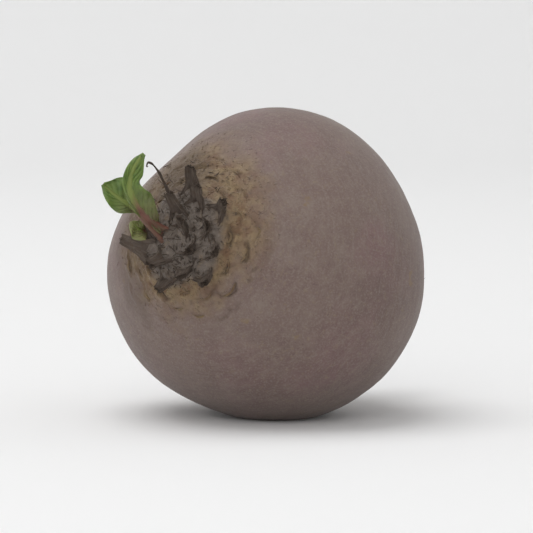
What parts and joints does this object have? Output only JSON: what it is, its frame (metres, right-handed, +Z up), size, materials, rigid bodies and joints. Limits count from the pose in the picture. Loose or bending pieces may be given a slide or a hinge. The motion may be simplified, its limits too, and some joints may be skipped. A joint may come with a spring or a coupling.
{
  "type": "beetroot",
  "caption": "Fresh round beetroot lying on its side, with trimmed dried leaf stalks, small young leaves on the crown and a short tail.",
  "frame": {"origin": "the point of the flat spot on the surface, straight under the root's middle", "axes": "+Z up; +Y along the root from the crown to the tail, level; the crown looks towards -Y and is tipped up 15 degrees; +X to the right as seen from the crown's side"},
  "size_m": [0.067, 0.0933, 0.0634],
  "materials": {
    "beetroot_skin": "matt corky purple-brown skin, dusty with dried soil",
    "dried_stalk": "dry, fibrous and dull",
    "young_leaf": "fresh, soft, slightly waxy"
  },
  "bodies": {
    "root": {"root": "beetroot_skin", "cut_stalk_01": "dried_stalk", "cut_stalk_02": "dried_stalk", "cut_stalk_03": "dried_stalk", "cut_stalk_04": "dried_stalk", "cut_stalk_05": "dried_stalk", "cut_stalk_06": "dried_stalk", "cut_stalk_07": "dried_stalk", "cut_stalk_08": "dried_stalk", "cut_stalk_09": "dried_stalk", "cut_stalk_10": "dried_stalk", "cut_stalk_11": "dried_stalk", "cut_stalk_12": "dried_stalk", "withered_stalk_left": "dried_stalk", "withered_stalk_top": "dried_stalk", "young_leaf_left": "young_leaf", "young_leaf_top": "young_leaf", "young_leaf_small": "young_leaf"}
  },
  "joints": []
}
